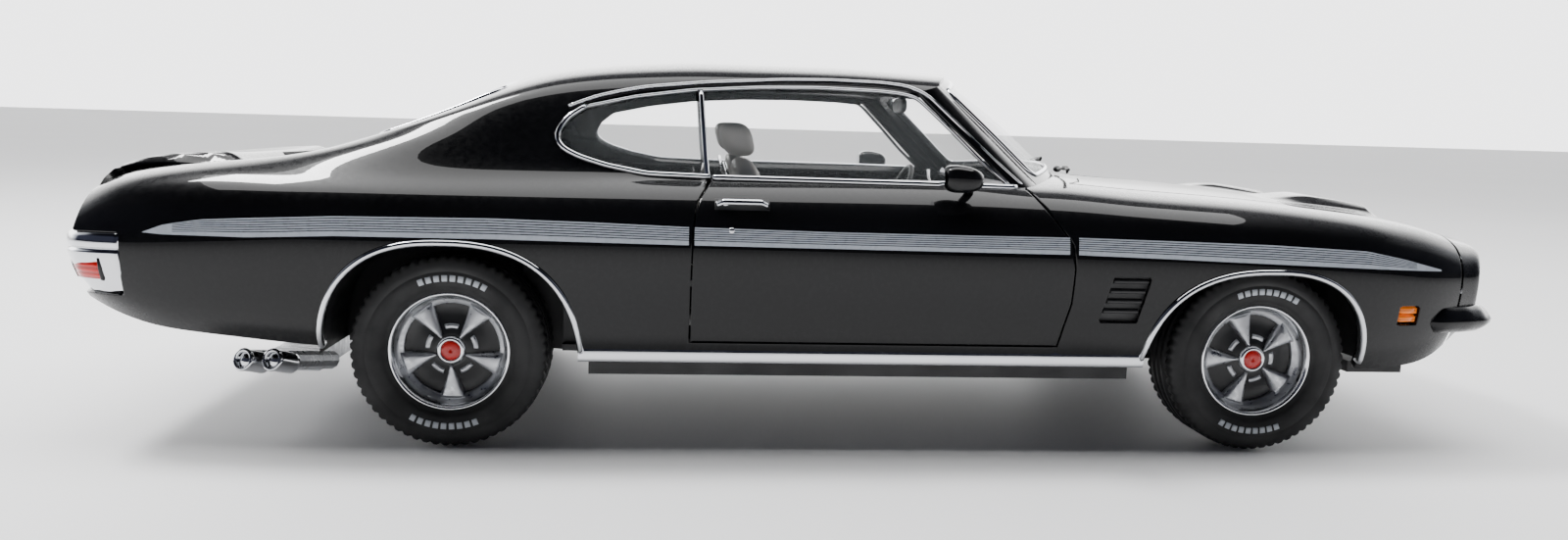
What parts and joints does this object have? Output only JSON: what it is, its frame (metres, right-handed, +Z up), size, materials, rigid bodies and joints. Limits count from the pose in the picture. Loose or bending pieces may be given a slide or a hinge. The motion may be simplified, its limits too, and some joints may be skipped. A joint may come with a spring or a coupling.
{
  "type": "diecast collector coupe",
  "caption": "Scale-model two-door hardtop coupe with opening doors, bonnet and boot, steered front wheels, turning axles, tilting seat backs and a fitted cabin.",
  "frame": {"origin": "on the ground under the middle of the model's length and width", "axes": "+X to the nose, +Y to the car's left, +Z up"},
  "size_m": [0.2866, 0.1124, 0.0758],
  "materials": {
    "body_paint": "gloss black lacquer",
    "chrome_trim": "bright plated",
    "clear_glazing": "clear moulding",
    "red_lens": "translucent red",
    "amber_lens": "translucent amber",
    "lamp_glass": "clear fluted lens over silver",
    "black_plastic": "fine grained",
    "exhaust_finish": "satin black with bright rims",
    "seat_vinyl": "fine grained vinyl look",
    "tyre_rubber": "satin black rubber",
    "wheel_silver": "silver with a bright lip",
    "axle_steel": "plain",
    "engine_paint": "blue-grey"
  },
  "bodies": {
    "car_body": {"body_shell": "body_paint", "nose_panel": "body_paint", "front_bumper": "body_paint", "rear_bumper": "chrome_trim", "right_window_moulding": "chrome_trim", "left_window_moulding": "chrome_trim", "right_rear_arch_moulding": "chrome_trim", "left_rear_arch_moulding": "chrome_trim", "right_front_arch_moulding": "chrome_trim", "left_front_arch_moulding": "chrome_trim", "right_sill_moulding": "chrome_trim", "left_sill_moulding": "chrome_trim", "windscreen": "clear_glazing", "rear_window": "clear_glazing", "right_quarter_glass": "clear_glazing", "left_quarter_glass": "clear_glazing", "right_tail_lamp": "red_lens", "left_tail_lamp": "red_lens", "right_marker_lamp": "amber_lens", "left_marker_lamp": "amber_lens", "right_headlamps": "lamp_glass", "left_headlamps": "lamp_glass", "grille": "black_plastic", "wipers": "black_plastic", "cabin_tub": "black_plastic", "dashboard": "black_plastic", "inside_mirror": "black_plastic", "chassis_plate": "black_plastic", "exhaust_system": "exhaust_finish", "rear_bench": "seat_vinyl", "right_seat_cushion": "seat_vinyl", "left_seat_cushion": "seat_vinyl", "engine_block": "engine_paint"},
    "rear_wheels": {"rear_axle": "axle_steel", "right_rear_rim": "wheel_silver", "left_rear_rim": "wheel_silver", "right_rear_tyre": "tyre_rubber", "left_rear_tyre": "tyre_rubber"},
    "bonnet_leaf": {"bonnet": "body_paint"},
    "boot_leaf": {"boot_lid": "body_paint"},
    "track_rod": {"tie_rod": "axle_steel"},
    "driver_wheel": {"steering_wheel": "black_plastic"},
    "right_door_leaf": {"right_door": "body_paint", "right_door_glass": "clear_glazing", "right_door_handle": "chrome_trim", "right_belt_moulding": "chrome_trim", "right_mirror": "body_paint"},
    "right_front_hub": {"right_knuckle": "axle_steel"},
    "right_front_wheel": {"right_front_rim": "wheel_silver", "right_front_tyre": "tyre_rubber"},
    "right_seat_back_leaf": {"right_seat_back": "seat_vinyl"},
    "left_door_leaf": {"left_door": "body_paint", "left_door_glass": "clear_glazing", "left_door_handle": "chrome_trim", "left_belt_moulding": "chrome_trim", "left_mirror": "body_paint"},
    "left_front_hub": {"left_knuckle": "axle_steel"},
    "left_front_wheel": {"left_front_rim": "wheel_silver", "left_front_tyre": "tyre_rubber"},
    "left_seat_back_leaf": {"left_seat_back": "seat_vinyl"}
  },
  "joints": [
    {"name": "rear_axle_spin", "type": "hinge", "parent": "car_body", "child": "rear_wheels", "pos_m": [-0.07175, 0, 0.0183], "axis": [0, 1, 0], "continuous": true},
    {"name": "right_steer", "type": "hinge", "parent": "car_body", "child": "right_front_hub", "pos_m": [0.08625, -0.033, 0.0183], "axis": [0, 0, 1], "range_deg": [-25, 25]},
    {"name": "left_steer", "type": "hinge", "parent": "car_body", "child": "left_front_hub", "pos_m": [0.08625, 0.033, 0.0183], "axis": [0, 0, 1], "range_deg": [-25, 25]},
    {"name": "right_wheel_spin", "type": "hinge", "parent": "right_front_hub", "child": "right_front_wheel", "pos_m": [0.08625, -0.0431, 0.0183], "axis": [0, 1, 0], "continuous": true},
    {"name": "left_wheel_spin", "type": "hinge", "parent": "left_front_hub", "child": "left_front_wheel", "pos_m": [0.08625, 0.0431, 0.0183], "axis": [0, 1, 0], "continuous": true},
    {"name": "track_rod_slide", "type": "slide", "parent": "car_body", "child": "track_rod", "axis": [0, 1, 0], "range_m": [-0.0032, 0.0032]},
    {"name": "steering_wheel_turn", "type": "hinge", "parent": "car_body", "child": "driver_wheel", "pos_m": [0.025, 0.021, 0.0455], "axis": [-0.9131, 0, 0.4078], "range_deg": [-101, 101]},
    {"name": "right_door_swing", "type": "hinge", "parent": "car_body", "child": "right_door_leaf", "pos_m": [0.0445, -0.0536, 0.034], "axis": [0, 0, 1], "range_deg": [0, 60]},
    {"name": "left_door_swing", "type": "hinge", "parent": "car_body", "child": "left_door_leaf", "pos_m": [0.0445, 0.0536, 0.034], "axis": [0, 0, -1], "range_deg": [0, 60]},
    {"name": "bonnet_swing", "type": "hinge", "parent": "car_body", "child": "bonnet_leaf", "pos_m": [0.0499, 0, 0.0523], "axis": [0, -1, 0], "range_deg": [0, 42]},
    {"name": "boot_swing", "type": "hinge", "parent": "car_body", "child": "boot_leaf", "pos_m": [-0.0959, 0, 0.0549], "axis": [0, 1, 0], "range_deg": [0, 45]},
    {"name": "right_seat_tilt", "type": "hinge", "parent": "car_body", "child": "right_seat_back_leaf", "pos_m": [-0.008, -0.02125, 0.027], "axis": [0, 1, 0], "range_deg": [0, 38]},
    {"name": "left_seat_tilt", "type": "hinge", "parent": "car_body", "child": "left_seat_back_leaf", "pos_m": [-0.008, 0.02125, 0.027], "axis": [0, 1, 0], "range_deg": [0, 38]}
  ],
  "couplings": [
    {"joint": "left_steer", "follows": "right_steer", "ratio": 1},
    {"joint": "track_rod_slide", "follows": "right_steer", "m_per_rad": -0.0069},
    {"joint": "steering_wheel_turn", "follows": "right_steer", "ratio": 4}
  ]
}
